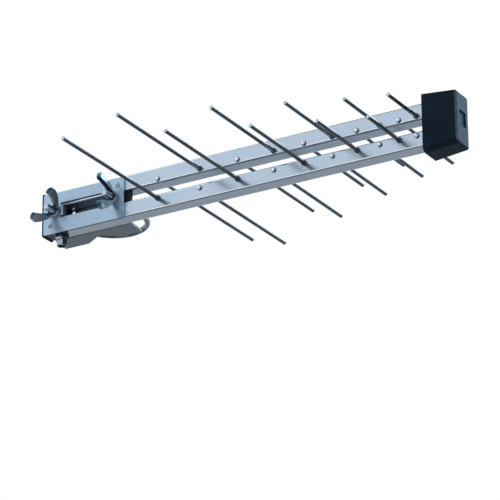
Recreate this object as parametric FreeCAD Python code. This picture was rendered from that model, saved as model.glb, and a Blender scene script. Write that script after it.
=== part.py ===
"""UHF log-periodic antenna with its clamp, in millimetres.

+X runs along the booms from the clamp to the nose, +Y from the wing nuts' side to the saddle's
side, and +Z is up.  The origin is the axis of the round tube that the clamp takes, level with
the gap between the two booms.  Everything is drawn about the booms' middle plane (Y = 0 there)
and moved once, at the end, to that origin.
"""
import FreeCAD, Part
import math
import os

Vector = FreeCAD.Vector

# Booms: two square tubes, one above the other, with an open gap between them
BOOM_SIDE = 15.0
BOOM_WALL = 1.2
BOOM_CORNER_R = 2.0
BOOM_GAP = 10.2
BOOM_REAR_MARGIN = 0.5
BOOM_FRONT_MARGIN = 23.5

# Radiating elements: distance from the origin along the booms, and half length
STATIONS = [
    (76.5, 159.0),
    (120.0, 142.5),
    (158.5, 127.5),
    (195.0, 113.5),
    (225.0, 99.5),
    (253.0, 89.5),
    (277.0, 78.5),
    (299.0, 70.5),
    (317.5, 64.0),
    (334.5, 59.0),
]
ROD_D = 3.5
ROD_UPPER_INSET = 3.7
ROD_LOWER_INSET = 4.4
ROD_HOLE_CLEARANCE = 0.05
ROD_TIP_CHAMFER = 0.3
ROD_HEAD_RIM = 0.75
ROD_HEAD_RISE = 1.3
COLLAR_RIM = 0.85
COLLAR_LENGTH = 1.6
COLLAR_ROUND = 0.6

# Clamp plate: a pressed sheet on the near side, with a window over the gap
PLATE_THICKNESS = 2.0
PLATE_REAR_MARGIN = 12.5
PLATE_FRONT_MARGIN = 11.0
PLATE_EDGE_INSET = 0.5
PLATE_DROP = 1.2
PLATE_CORNER_R = 1.5
WINDOW_STUD_GAP = 8.4
WINDOW_TOP_OVERLAP = 2.6
WINDOW_BOTTOM_OVERLAP = 1.3
TAB_REACH = 3.5
TAB_SIDE_GAP = 0.5
RELIEF_R = 1.1

# Rivets that hold the plate to the booms
RIVET_END_INSET = 6.8
RIVET_FRONT_DROP = 1.1
RIVET_SHANK_D = 3.0
RIVET_HEAD_RIM = 0.7
RIVET_HEAD_RISE = 0.8
RIVET_TAIL_RIM = 0.8
RIVET_TAIL_LENGTH = 1.4
RIVET_HOLE_CLEARANCE = 0.05

# Saddle: a channel of sheet on the far side, its flanges notched for a tube of this diameter
MAST_D = 44.0
SADDLE_REAR_MARGIN = 11.5
SADDLE_FRONT_MARGIN = 7.9
SADDLE_THICKNESS = 2.0
SADDLE_BEND_R = 1.5
SADDLE_DEPTH = 18.5
SADDLE_SPLAY_DEG = 5.0
NOTCH_HALF_ANGLE_DEG = 60.0
NOTCH_FLOOR = 7.1
TOOTH_PITCH = 2.7
TOOTH_DEPTH = 1.3
SADDLE_HOLE_D = 3.2
SADDLE_HOLE_X = 22.4
SADDLE_HOLE_Z = 3.4

# U-bolt, washers and wing nuts
STUD_SPACING = 62.0
STUD_THREAD_D = 6.0
STUD_THREAD_LENGTH = 36.0
STUD_CHAMFER = 0.7
THREAD_RISE = 0.35
U_BOLT_MAST_SLACK = 3.3
STUD_HOLE_PLAY = 0.3
STUD_END = 24.5
WASHER_RIM = 3.05
WASHER_HOLE_PLAY = 0.2
WASHER_THICKNESS = 1.5
NUT_TOP_WALL = 1.8
NUT_BASE_FLARE = 1.0
NUT_HUB_HEIGHT = 9.0
NUT_HEIGHT = 22.3
NUT_SPAN = 33.8
NUT_THREAD_CLEARANCE = 0.05
NUT_LEFT_TURN_DEG = 50.0
NUT_RIGHT_TURN_DEG = 91.0
WING_THICKNESS = 3.2
WING_ROOT_INSET = 1.2
WING_BELLY = 2.8
WING_CROWN_WIDTH = 4.6
WING_SHOULDER_DROP = 4.4
WING_INNER_SETBACK = 3.4
WING_INNER_HOLLOW = 0.9

# Insulating block in the gap beside the clamp
SPACER_STUD_GAP = 4.5
SPACER_LENGTH = 9.2
SPACER_DEPTH = 4.0
SPACER_ROUND = 0.8

# Rear end cap with a hollow plug for each boom
REAR_CAP_THICKNESS = 2.0
PLUG_LENGTH = 5.0
PLUG_WALL = 1.4
PLUG_CLEARANCE = 0.1

# Nose cap: a drafted hollow moulding, and the insulator that carries it on the booms
NOSE_OVERLAP = 16.0
NOSE_DROP = 0.6
NOSE_LENGTH = 32.0
NOSE_STACK_MARGIN = 6.8
NOSE_SIDE_MARGIN = 5.2
NOSE_HEIGHT_TAPER = 5.6
NOSE_DEPTH_TAPER = 2.2
NOSE_WALL = 1.6
NOSE_TOP_R = 2.1
NOSE_NEAR_BOTTOM_R = 5.2
NOSE_FAR_BOTTOM_R = 2.3
NOSE_EDGE_R = 2.0
RECESS_WIDTH = 12.0
RECESS_HEIGHT = 14.0
RECESS_DEPTH = 1.2
CARRIER_SETBACK = 2.0
CARRIER_THICKNESS = 5.0
CARRIER_CLEARANCE = 0.1

# Coaxial socket under the rear of the lower boom
SOCKET_REAR_INSET = 14.5
SOCKET_BARREL_D = 9.5
SOCKET_BARREL_LENGTH = 5.5
SOCKET_WALL = 1.15
SOCKET_HEX_STEP = 0.75
SOCKET_HEX_HEIGHT = 3.4
SOCKET_SHANK_ABOVE_FLOOR = 2.4
SOCKET_HOLE_CLEARANCE = 0.1
GASKET_WIDTH = 1.55
GASKET_THICKNESS = 1.4
LOCKNUT_HEIGHT = 2.0
LOCKNUT_STEP = 0.6
INSULATOR_RECESS = 0.9
CONTACT_D = 1.9
CONTACT_WALL = 0.4
CONTACT_BORE_DEPTH = 7.0
CONTACT_ABOVE_SHANK = 1.2

# Feeder cable inside the lower boom, and its two terminals at the nose
CABLE_D = 5.0
CABLE_JACKET = 1.0
CABLE_WIRE_D = 1.0
CABLE_FLOOR_GAP = 0.8
CABLE_START_GAP = 7.5
TERMINAL_THICKNESS = 0.5
TERMINAL_WIDTH = 6.5
TERMINAL_STEP = 1.5
CORE_STUB = 1.5
WIRE_STUB = 1.0
TERMINAL_OVERHANG = 2.0
FEED_SCREW_INSET = 4.0
FEED_SCREW_D = 2.9
FEED_SCREW_HEAD_RIM = 1.15
FEED_SCREW_HEAD_HEIGHT = 1.8
FEED_SCREW_TAIL = 2.0

# Sizes that follow from the ones above
HALF_SIDE = BOOM_SIDE / 2
BOOM_Z = {"upper": (BOOM_GAP + BOOM_SIDE) / 2, "lower": -(BOOM_GAP + BOOM_SIDE) / 2}
ROD_Z = {"upper": BOOM_GAP / 2 + ROD_UPPER_INSET, "lower": -BOOM_GAP / 2 - ROD_LOWER_INSET}
ROD_HEAD_D = ROD_D + 2 * ROD_HEAD_RIM
COLLAR_D = ROD_D + 2 * COLLAR_RIM
STACK_HALF = BOOM_GAP / 2 + BOOM_SIDE
FLOOR_Z = -STACK_HALF + BOOM_WALL
PLATE_FRONT_Y = -HALF_SIDE - PLATE_THICKNESS
PLATE_HALF_HEIGHT = STACK_HALF - PLATE_EDGE_INSET
WINDOW_TOP_Z = BOOM_GAP / 2 + WINDOW_TOP_OVERLAP
WINDOW_BOTTOM_Z = -BOOM_GAP / 2 - WINDOW_BOTTOM_OVERLAP
SADDLE_BACK_Y = HALF_SIDE + SADDLE_THICKNESS
NOTCH_APEX_Y = SADDLE_BACK_Y + NOTCH_FLOOR
MAST_Y = NOTCH_APEX_Y + MAST_D / 2 / math.sin(math.radians(NOTCH_HALF_ANGLE_DEG))
STUD_X = STUD_SPACING / 2
STUD_HOLE_D = STUD_THREAD_D + 2 * STUD_HOLE_PLAY
U_BOLT_ROD_D = STUD_THREAD_D - 2 * THREAD_RISE
WASHER_HOLE_D = STUD_THREAD_D + 2 * WASHER_HOLE_PLAY
WASHER_D = WASHER_HOLE_D + 2 * WASHER_RIM
NUT_TOP_D = STUD_THREAD_D + 2 * NUT_TOP_WALL
NUT_BASE_D = NUT_TOP_D + 2 * NUT_BASE_FLARE
WING_INNER_EDGE_X = NUT_TOP_D / 2 + WING_INNER_SETBACK
PLATE_REAR_X = -STUD_X - PLATE_REAR_MARGIN
PLATE_FRONT_X = STUD_X + PLATE_FRONT_MARGIN
RIVET_REAR_X = PLATE_REAR_X + RIVET_END_INSET
RIVET_FRONT_X = PLATE_FRONT_X - RIVET_END_INSET
WINDOW_HALF_LENGTH = STUD_X - WINDOW_STUD_GAP
SADDLE_REAR_X = -STUD_X - SADDLE_REAR_MARGIN
SADDLE_FRONT_X = STUD_X + SADDLE_FRONT_MARGIN
RIVET_HEAD_D = RIVET_SHANK_D + 2 * RIVET_HEAD_RIM
RIVET_TAIL_D = RIVET_SHANK_D + 2 * RIVET_TAIL_RIM
RIVET_REAR_Z = BOOM_Z["lower"]
RIVET_FRONT_Z = BOOM_Z["upper"] - RIVET_FRONT_DROP
BOOM_REAR_X = PLATE_REAR_X - BOOM_REAR_MARGIN
BOOM_FRONT_X = STATIONS[-1][0] + BOOM_FRONT_MARGIN
SOCKET_X = BOOM_REAR_X + SOCKET_REAR_INSET
SPACER_REAR_X = STUD_X + STUD_THREAD_D / 2 + SPACER_STUD_GAP
U_BOLT_BEND_Y = MAST_Y + MAST_D / 2 + U_BOLT_MAST_SLACK - STUD_X + U_BOLT_ROD_D / 2
WASHER_FRONT_Y = PLATE_FRONT_Y - WASHER_THICKNESS
NOSE_REAR_X = BOOM_FRONT_X - NOSE_OVERLAP
NOSE_REAR_HEIGHT = 2 * (STACK_HALF + NOSE_STACK_MARGIN)
NOSE_REAR_DEPTH = 2 * (HALF_SIDE + NOSE_SIDE_MARGIN)
SOCKET_BORE_D = SOCKET_BARREL_D - 2 * SOCKET_WALL
SOCKET_HEX = SOCKET_BARREL_D + 2 * SOCKET_HEX_STEP
LOCKNUT_HEX = SOCKET_BARREL_D + 2 * LOCKNUT_STEP
GASKET_D = SOCKET_BARREL_D + 2 * GASKET_WIDTH
CONTACT_BORE_D = CONTACT_D - 2 * CONTACT_WALL
CABLE_CORE_D = CABLE_D - 2 * CABLE_JACKET
FEED_SCREW_HEAD_D = FEED_SCREW_D + 2 * FEED_SCREW_HEAD_RIM
HEX_TOP_Z = -STACK_HALF - GASKET_THICKNESS
SOCKET_MOUTH_Z = HEX_TOP_Z - SOCKET_HEX_HEIGHT - SOCKET_BARREL_LENGTH
SHANK_TOP_Z = FLOOR_Z + SOCKET_SHANK_ABOVE_FLOOR
CABLE_Z = FLOOR_Z + CABLE_FLOOR_GAP + CABLE_D / 2
CABLE_START_X = SOCKET_X + CABLE_START_GAP
BRAID_LUG_X = BOOM_FRONT_X + TERMINAL_STEP
CORE_LINK_X = BRAID_LUG_X + TERMINAL_THICKNESS + CORE_STUB
FEED_SCREW_X = BOOM_FRONT_X - FEED_SCREW_INSET


def box(x_range, y_range, z_range):
    """A box between the given limits."""
    size = [limits[1] - limits[0] for limits in (x_range, y_range, z_range)]
    return Part.makeBox(size[0], size[1], size[2], Vector(x_range[0], y_range[0], z_range[0]))


def rod_between(start, end, radius):
    """A round bar from one point to another."""
    path = end - start
    return Part.makeCylinder(radius, path.Length, start, path)


def rounded_section(x, centre_z, half_depth, half_height, top_r, near_r, far_r):
    """A closed outline across the booms at x; near_r and far_r round its two lower corners."""
    low, high = centre_z - half_height, centre_z + half_height

    def point(y, z):
        return Vector(x, y, z)

    def corner(y, z, side_y, side_z, radius, from_side):
        """The arc in one corner; it starts on the upright side or on the level one."""
        centre_y, middle_z = y - side_y * radius, z - side_z * radius
        bulge = radius / math.sqrt(2)
        ends = [point(y, middle_z), point(centre_y, z)]
        if not from_side:
            ends.reverse()
        middle = point(centre_y + side_y * bulge, middle_z + side_z * bulge)
        return Part.Arc(ends[0], middle, ends[1]).toShape()

    edges = [
        Part.makeLine(point(-half_depth, low + near_r), point(-half_depth, high - top_r)),
        corner(-half_depth, high, -1, 1, top_r, True),
        Part.makeLine(point(-half_depth + top_r, high), point(half_depth - top_r, high)),
        corner(half_depth, high, 1, 1, top_r, False),
        Part.makeLine(point(half_depth, high - top_r), point(half_depth, low + far_r)),
        corner(half_depth, low, 1, -1, far_r, True),
        Part.makeLine(point(half_depth - far_r, low), point(-half_depth + near_r, low)),
        corner(-half_depth, low, -1, -1, near_r, False),
    ]
    return Part.Wire(edges)


def rounded_bar(x_start, x_end, centre_z, half_depth, half_height, radius):
    """A bar along X with its four long edges rounded."""
    outline = rounded_section(x_start, centre_z, half_depth, half_height, radius, radius, radius)
    return Part.Face(outline).extrude(Vector(x_end - x_start, 0, 0))


def turned(profile, axis_start, axis_direction):
    """A solid of revolution from a closed list of edges."""
    return Part.Face(Part.Wire(profile)).revolve(axis_start, axis_direction, 360)


def far_side_boom(station):
    """The boom whose rod points to the saddle's side; it alternates along the antenna."""
    return "upper" if station % 2 == 0 else "lower"


def boom(name):
    """One square tube, drilled through for its rods and for what is fixed to it."""
    centre_z = BOOM_Z[name]
    inner_half = HALF_SIDE - BOOM_WALL
    tube = rounded_bar(BOOM_REAR_X, BOOM_FRONT_X, centre_z, HALF_SIDE, HALF_SIDE, BOOM_CORNER_R)
    inner_r = BOOM_CORNER_R - BOOM_WALL
    hollow = rounded_bar(BOOM_REAR_X, BOOM_FRONT_X, centre_z, inner_half, inner_half, inner_r)
    holes = []
    for x, _ in STATIONS:
        ends = [Vector(x, side * BOOM_SIDE, ROD_Z[name]) for side in (-1, 1)]
        holes.append(rod_between(ends[0], ends[1], ROD_D / 2 + ROD_HOLE_CLEARANCE))
    rivet_places = {"upper": (RIVET_FRONT_X, RIVET_FRONT_Z), "lower": (RIVET_REAR_X, RIVET_REAR_Z)}
    rivet_x, rivet_z = rivet_places[name]
    rivet_hole_r = RIVET_SHANK_D / 2 + RIVET_HOLE_CLEARANCE
    rivet_ends = (Vector(rivet_x, -BOOM_SIDE, rivet_z), Vector(rivet_x, 0, rivet_z))
    holes.append(rod_between(rivet_ends[0], rivet_ends[1], rivet_hole_r))
    inner_face_z = BOOM_GAP / 2 if name == "upper" else -BOOM_GAP / 2
    screw_ends = (Vector(FEED_SCREW_X, 0, 0), Vector(FEED_SCREW_X, 0, inner_face_z * 2))
    holes.append(rod_between(screw_ends[0], screw_ends[1], FEED_SCREW_D / 2))
    if name == "lower":
        socket_hole_r = SOCKET_BARREL_D / 2 + SOCKET_HOLE_CLEARANCE
        below, inside = Vector(SOCKET_X, 0, -STACK_HALF * 2), Vector(SOCKET_X, 0, centre_z)
        holes.append(rod_between(below, inside, socket_hole_r))
    return tube.cut([hollow] + holes)


def element(station, name):
    """One rod: riveted head on one face of the boom, collar on the other, then the free length."""
    x, half_length = STATIONS[station]
    side = 1 if name == far_side_boom(station) else -1
    rod_r, head_r, collar_r = ROD_D / 2, ROD_HEAD_D / 2, COLLAR_D / 2
    sphere_r = (head_r**2 + ROD_HEAD_RISE**2) / (2 * ROD_HEAD_RISE)
    half_angle = math.asin(head_r / sphere_r) / 2
    head_top = -HALF_SIDE - ROD_HEAD_RISE
    dome_middle = (sphere_r * math.sin(half_angle), head_top + sphere_r * (1 - math.cos(half_angle)))
    collar_end = HALF_SIDE + COLLAR_LENGTH
    round_middle = COLLAR_ROUND * (1 - 1 / math.sqrt(2))

    def point(radius, along):
        return Vector(x + radius, side * along, ROD_Z[name])

    corners = [
        point(head_r, -HALF_SIDE),
        point(rod_r, -HALF_SIDE),
        point(rod_r, HALF_SIDE),
        point(collar_r, HALF_SIDE),
        point(collar_r, collar_end - COLLAR_ROUND),
    ]
    shaft = [
        point(collar_r - COLLAR_ROUND, collar_end),
        point(rod_r, collar_end),
        point(rod_r, half_length - ROD_TIP_CHAMFER),
        point(rod_r - ROD_TIP_CHAMFER, half_length),
        point(0, half_length),
        point(0, head_top),
    ]
    edges = [Part.Arc(point(0, head_top), point(*dome_middle), corners[0]).toShape()]
    edges += [Part.makeLine(a, b) for a, b in zip(corners, corners[1:])]
    rounding = point(collar_r - round_middle, collar_end - round_middle)
    edges.append(Part.Arc(corners[-1], rounding, shaft[0]).toShape())
    edges += [Part.makeLine(a, b) for a, b in zip(shaft, shaft[1:])]
    return turned(edges, point(0, 0), Vector(0, 1, 0))


def plate_tab(side):
    """The tab bent inwards at one end of the plate's window, with its rounded bend."""
    near, bend = WINDOW_HALF_LENGTH, PLATE_THICKNESS
    half_height = BOOM_GAP / 2 - TAB_SIDE_GAP

    def point(x, y):
        return Vector(side * x, y, -half_height)

    bulge = bend * (1 - 1 / math.sqrt(2))
    start, finish = point(near + bend, PLATE_FRONT_Y), point(near, PLATE_FRONT_Y + bend)
    arc = Part.Arc(start, point(near + bulge, PLATE_FRONT_Y + bulge), finish)
    tip_y = -HALF_SIDE + TAB_REACH
    corners = [finish, point(near, tip_y), point(near + bend, tip_y), start]
    edges = [arc.toShape()] + [Part.makeLine(a, b) for a, b in zip(corners, corners[1:])]
    return Part.Face(Part.Wire(edges)).extrude(Vector(0, 0, 2 * half_height))


def clamp_plate():
    """The pressed sheet under the wing nuts."""
    across = (PLATE_FRONT_Y, -HALF_SIDE)
    levels = (-PLATE_HALF_HEIGHT - PLATE_DROP, PLATE_HALF_HEIGHT - PLATE_DROP)
    sheet = box((PLATE_REAR_X, PLATE_FRONT_X), across, levels)
    corners = [edge for edge in sheet.Edges if abs(edge.tangentAt(edge.FirstParameter).y) > 0.9]
    sheet = sheet.makeFillet(PLATE_CORNER_R, corners)
    reach_x = WINDOW_HALF_LENGTH + PLATE_THICKNESS
    cuts = [box((-reach_x, reach_x), across, (WINDOW_BOTTOM_Z, WINDOW_TOP_Z))]
    through = (Vector(0, PLATE_FRONT_Y - 1, 0), Vector(0, -HALF_SIDE + 1, 0))
    places = []
    for side in (-1, 1):
        places.append((side * STUD_X, 0, STUD_HOLE_D / 2))
        places.append((side * reach_x, WINDOW_TOP_Z - RELIEF_R, RELIEF_R))
        places.append((side * reach_x, WINDOW_BOTTOM_Z + RELIEF_R, RELIEF_R))
    rivet_hole_r = RIVET_SHANK_D / 2 + RIVET_HOLE_CLEARANCE
    places.append((RIVET_REAR_X, RIVET_REAR_Z, rivet_hole_r))
    places.append((RIVET_FRONT_X, RIVET_FRONT_Z, rivet_hole_r))
    for x, z, radius in places:
        cuts.append(rod_between(through[0] + Vector(x, 0, z), through[1] + Vector(x, 0, z), radius))
    return sheet.cut(cuts).fuse([plate_tab(-1), plate_tab(1)]).removeSplitter()


def plate_rivet(x, z):
    """A rivet through the plate and the boom's near wall, with a domed head and a set tail."""
    inner_y = -HALF_SIDE + BOOM_WALL
    shank = rod_between(Vector(x, PLATE_FRONT_Y, z), Vector(x, inner_y, z), RIVET_SHANK_D / 2)
    tail_end = Vector(x, inner_y + RIVET_TAIL_LENGTH, z)
    tail = rod_between(Vector(x, inner_y, z), tail_end, RIVET_TAIL_D / 2)
    head_r = RIVET_HEAD_D / 2
    sphere_r = (head_r**2 + RIVET_HEAD_RISE**2) / (2 * RIVET_HEAD_RISE)
    ball = Part.makeSphere(sphere_r, Vector(x, PLATE_FRONT_Y - RIVET_HEAD_RISE + sphere_r, z))
    reach = sphere_r * 2
    front = (PLATE_FRONT_Y - reach, PLATE_FRONT_Y)
    outside = box((x - reach, x + reach), front, (z - reach, z + reach))
    return shank.fuse([tail, ball.common(outside)]).removeSplitter()


def plate_rivets():
    """Both rivets: one at the lower rear corner, one at the upper front corner."""
    rear = plate_rivet(RIVET_REAR_X, RIVET_REAR_Z)
    front = plate_rivet(RIVET_FRONT_X, RIVET_FRONT_Z)
    return Part.makeCompound([rear, front])


def saddle_section():
    """The channel's section: web against the booms, two bends and two splayed flanges."""
    outer_r = SADDLE_BEND_R + SADDLE_THICKNESS
    splay = math.radians(SADDLE_SPLAY_DEG)
    web_end = STACK_HALF - outer_r * math.cos(splay)
    centre_y = HALF_SIDE + outer_r
    flange = (HALF_SIDE + SADDLE_DEPTH - centre_y + outer_r * math.sin(splay)) / math.cos(splay)
    middle_turn = (math.pi / 2 - splay) / 2

    def on_bend(radius, turn, level):
        """A point on a bend, turned from the web towards the flange."""
        y = centre_y - radius * math.cos(turn)
        return Vector(SADDLE_REAR_X, y, level * (web_end + radius * math.sin(turn)))

    def half(level):
        """The edges from the web's outer face, round the flange, to its inner face."""
        end_turn = math.pi / 2 - splay
        along = Vector(0, math.cos(splay), level * math.sin(splay)) * flange
        outer = [on_bend(outer_r, turn, level) for turn in (0, middle_turn, end_turn)]
        inner = [on_bend(SADDLE_BEND_R, turn, level) for turn in (end_turn, middle_turn, 0)]
        tip_out, tip_in = outer[2] + along, inner[0] + along
        return [
            Part.Arc(*outer).toShape(),
            Part.makeLine(outer[2], tip_out),
            Part.makeLine(tip_out, tip_in),
            Part.makeLine(tip_in, inner[0]),
            Part.Arc(*inner).toShape(),
        ]

    def web_line(radius):
        return Part.makeLine(on_bend(radius, 0, -1), on_bend(radius, 0, 1))

    edges = half(1) + half(-1) + [web_line(outer_r), web_line(SADDLE_BEND_R)]
    return Part.Face(Part.Wire(Part.__sortEdges__(edges)))


def notch_outline():
    """The V that a tube sits in, seen from above, with saw teeth along both sides."""
    half_angle = math.radians(NOTCH_HALF_ANGLE_DEG)
    along = (math.sin(half_angle), math.cos(half_angle))
    into_metal = (math.cos(half_angle), -math.sin(half_angle))
    side_length = (HALF_SIDE + SADDLE_DEPTH - NOTCH_APEX_Y + TOOTH_PITCH) / along[1]
    teeth = int(side_length / TOOTH_PITCH) + 1
    outline = [(0.0, NOTCH_APEX_Y)]
    for tooth in range(teeth):
        tip = tooth * TOOTH_PITCH
        valley = tip + TOOTH_PITCH / 2
        for distance, depth in ((valley, TOOTH_DEPTH), (tip + TOOTH_PITCH, 0.0)):
            x = distance * along[0] + depth * into_metal[0]
            y = NOTCH_APEX_Y + distance * along[1] + depth * into_metal[1]
            outline.append((x, y))
    mirrored = [(-x, y) for x, y in reversed(outline[1:])]
    points = [Vector(x, y, -2 * STACK_HALF) for x, y in outline + mirrored]
    return Part.Face(Part.makePolygon(points + points[:1]))


def mast_saddle():
    """The channel that seats the clamped tube, with holes for the U-bolt."""
    channel = saddle_section().extrude(Vector(SADDLE_FRONT_X - SADDLE_REAR_X, 0, 0))
    cuts = [notch_outline().extrude(Vector(0, 0, 4 * STACK_HALF))]
    for side in (-1, 1):
        places = ((STUD_X, 0, STUD_HOLE_D), (SADDLE_HOLE_X, -side * SADDLE_HOLE_Z, SADDLE_HOLE_D))
        for x, z, diameter in places:
            start, end = Vector(side * x, 0, z), Vector(side * x, SADDLE_BACK_Y + 1, z)
            cuts.append(rod_between(start, end, diameter / 2))
    return channel.cut(cuts)


def u_bolt():
    """The rod bent into a U; its legs run back through saddle, gap and plate."""
    rod_r, thread_r = U_BOLT_ROD_D / 2, STUD_THREAD_D / 2
    thread_end = -STUD_END + STUD_THREAD_LENGTH
    circle = Part.makeCircle(rod_r, Vector(STUD_X, U_BOLT_BEND_Y, 0), Vector(0, 1, 0))
    bend = Part.Face(Part.Wire(circle)).revolve(Vector(0, U_BOLT_BEND_Y, 0), Vector(0, 0, 1), 180)
    pieces = []
    for side in (-1, 1):
        tip = Vector(side * STUD_X, -STUD_END, 0)
        shoulder = tip + Vector(0, STUD_CHAMFER, 0)
        pieces.append(Part.makeCone(thread_r - STUD_CHAMFER, thread_r, STUD_CHAMFER, tip, Vector(0, 1, 0)))
        pieces.append(rod_between(shoulder, Vector(side * STUD_X, thread_end, 0), thread_r))
        leg = (Vector(side * STUD_X, thread_end, 0), Vector(side * STUD_X, U_BOLT_BEND_Y, 0))
        pieces.append(rod_between(leg[0], leg[1], rod_r))
    return bend.fuse(pieces).removeSplitter()


def washer(side):
    """The flat washer under a wing nut."""
    ends = (Vector(side * STUD_X, WASHER_FRONT_Y, 0), Vector(side * STUD_X, PLATE_FRONT_Y, 0))
    return rod_between(ends[0], ends[1], WASHER_D / 2).cut(rod_between(ends[0], ends[1], WASHER_HOLE_D / 2))


def wing():
    """One ear of a wing nut, drawn in the plane of its axis and centred on it."""
    reach = NUT_SPAN / 2
    root_x = NUT_TOP_D / 2 - WING_ROOT_INSET
    shoulder = (reach, NUT_HEIGHT - WING_SHOULDER_DROP)
    crown = (reach - WING_CROWN_WIDTH, NUT_HEIGHT)
    inner_top = (WING_INNER_EDGE_X, NUT_HEIGHT - WING_SHOULDER_DROP / 4)
    root_low = (root_x, WING_THICKNESS / 4)
    root_high = (root_x, NUT_HUB_HEIGHT)

    def point(place):
        return Vector(place[0], -place[1], -WING_THICKNESS / 2)

    def bowed(start, finish, rise):
        """An arc between two places; it stands off its chord by the rise, to the right of it."""
        along_x, along_h = finish[0] - start[0], finish[1] - start[1]
        length = math.hypot(along_x, along_h)
        middle_x = (start[0] + finish[0]) / 2 + rise * along_h / length
        middle_h = (start[1] + finish[1]) / 2 - rise * along_x / length
        return Part.Arc(point(start), point((middle_x, middle_h)), point(finish)).toShape()

    edges = [
        bowed(root_low, shoulder, WING_BELLY),
        bowed(shoulder, crown, WING_SHOULDER_DROP / 4),
        bowed(crown, inner_top, WING_SHOULDER_DROP / 16),
        bowed(inner_top, root_high, -WING_INNER_HOLLOW),
        Part.makeLine(point(root_high), point(root_low)),
    ]
    return Part.Face(Part.Wire(edges)).extrude(Vector(0, 0, WING_THICKNESS))


def wing_nut(side, turn_deg):
    """A wing nut seated on its washer, turned about its stud as it was left."""
    hub = Part.makeCone(NUT_BASE_D / 2, NUT_TOP_D / 2, NUT_HUB_HEIGHT, Vector(0, 0, 0), Vector(0, -1, 0))
    ear = wing()
    other_ear = ear.mirror(Vector(0, 0, 0), Vector(1, 0, 0))
    bore_r = STUD_THREAD_D / 2 + NUT_THREAD_CLEARANCE
    bore = rod_between(Vector(0, 1, 0), Vector(0, -NUT_HEIGHT, 0), bore_r)
    nut = hub.fuse([ear, other_ear]).cut(bore).removeSplitter()
    nut.rotate(Vector(0, 0, 0), Vector(0, 1, 0), -turn_deg)
    nut.translate(Vector(side * STUD_X, WASHER_FRONT_Y, 0))
    return nut


def boom_spacer():
    """The insulating block that keeps the booms apart beside the clamp."""
    ends = (SPACER_REAR_X, SPACER_REAR_X + SPACER_LENGTH)
    block = rounded_bar(ends[0], ends[1], 0, SPACER_DEPTH / 2, BOOM_GAP / 2, SPACER_ROUND)
    block.translate(Vector(0, SPACER_DEPTH / 2 - HALF_SIDE, 0))
    return block


def rear_end_cap():
    """The moulding that closes both booms at the rear."""
    start = BOOM_REAR_X - REAR_CAP_THICKNESS
    cover = rounded_bar(start, BOOM_REAR_X, 0, HALF_SIDE, STACK_HALF, BOOM_CORNER_R)
    plug_half = HALF_SIDE - BOOM_WALL - PLUG_CLEARANCE
    plug_end = BOOM_REAR_X + PLUG_LENGTH
    inner_r = BOOM_CORNER_R - BOOM_WALL
    plugs = []
    for centre_z in BOOM_Z.values():
        plug = rounded_bar(BOOM_REAR_X, plug_end, centre_z, plug_half, plug_half, inner_r)
        hollow_half = plug_half - PLUG_WALL
        hollow_y = (-hollow_half, hollow_half)
        hollow_z = (centre_z - hollow_half, centre_z + hollow_half)
        plugs.append(plug.cut(box((BOOM_REAR_X, plug_end), hollow_y, hollow_z)))
    return cover.fuse(plugs).removeSplitter()


def nose_half_sizes(x, inset):
    """Half depth and half height of the drafted nose cap at x, less a wall or a clearance."""
    share = (x - NOSE_REAR_X) / NOSE_LENGTH
    depth = NOSE_REAR_DEPTH - share * NOSE_DEPTH_TAPER
    height = NOSE_REAR_HEIGHT - share * NOSE_HEIGHT_TAPER
    return depth / 2 - inset, height / 2 - inset


def nose_section(x, inset):
    """The nose cap's outline at x, moved inwards by the inset."""
    half_depth, half_height = nose_half_sizes(x, inset)
    radii = [radius - inset for radius in (NOSE_TOP_R, NOSE_NEAR_BOTTOM_R, NOSE_FAR_BOTTOM_R)]
    return rounded_section(x, -NOSE_DROP, half_depth, half_height, *radii)


def nose_cap():
    """The drafted hollow moulding over the booms' front ends, open at the rear."""
    front_x = NOSE_REAR_X + NOSE_LENGTH
    body = Part.makeLoft([nose_section(NOSE_REAR_X, 0), nose_section(front_x, 0)], True, True)
    rim = [edge for edge in body.Edges if edge.BoundBox.XMin > front_x - 0.01]
    body = body.makeFillet(NOSE_EDGE_R, rim)
    inner_end = front_x - NOSE_WALL - RECESS_DEPTH
    ends = [nose_section(NOSE_REAR_X, NOSE_WALL), nose_section(inner_end, NOSE_WALL)]
    cavity = Part.makeLoft(ends, True, True)
    recess_start = front_x - RECESS_DEPTH
    half_width, half_height = RECESS_WIDTH / 2, RECESS_HEIGHT / 2
    recess = box((recess_start, front_x + 1), (-half_width, half_width), (-half_height, half_height))
    return body.cut([cavity, recess])


def boom_carrier():
    """The insulator inside the nose cap: both booms pass through it and it carries the cap."""
    start = NOSE_REAR_X + CARRIER_SETBACK
    end = start + CARRIER_THICKNESS
    outline = nose_section(end, NOSE_WALL + CARRIER_CLEARANCE / 2)
    block = Part.Face(outline).extrude(Vector(start - end, 0, 0))
    hole_half = HALF_SIDE + CARRIER_CLEARANCE / 2
    windows = [rounded_bar(start, end, z, hole_half, hole_half, BOOM_CORNER_R) for z in BOOM_Z.values()]
    return block.cut(windows)


def hexagon(across_flats, z_start, height):
    """A hexagonal prism on the socket's axis."""
    radius = across_flats / math.sqrt(3)
    angles = [math.radians(60 * corner) for corner in range(7)]
    points = [Vector(SOCKET_X + radius * math.cos(a), radius * math.sin(a), z_start) for a in angles]
    return Part.Face(Part.makePolygon(points)).extrude(Vector(0, 0, height))


def on_socket_axis(z_low, z_high, diameter):
    """A round bar on the socket's axis."""
    return rod_between(Vector(SOCKET_X, 0, z_low), Vector(SOCKET_X, 0, z_high), diameter / 2)


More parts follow.
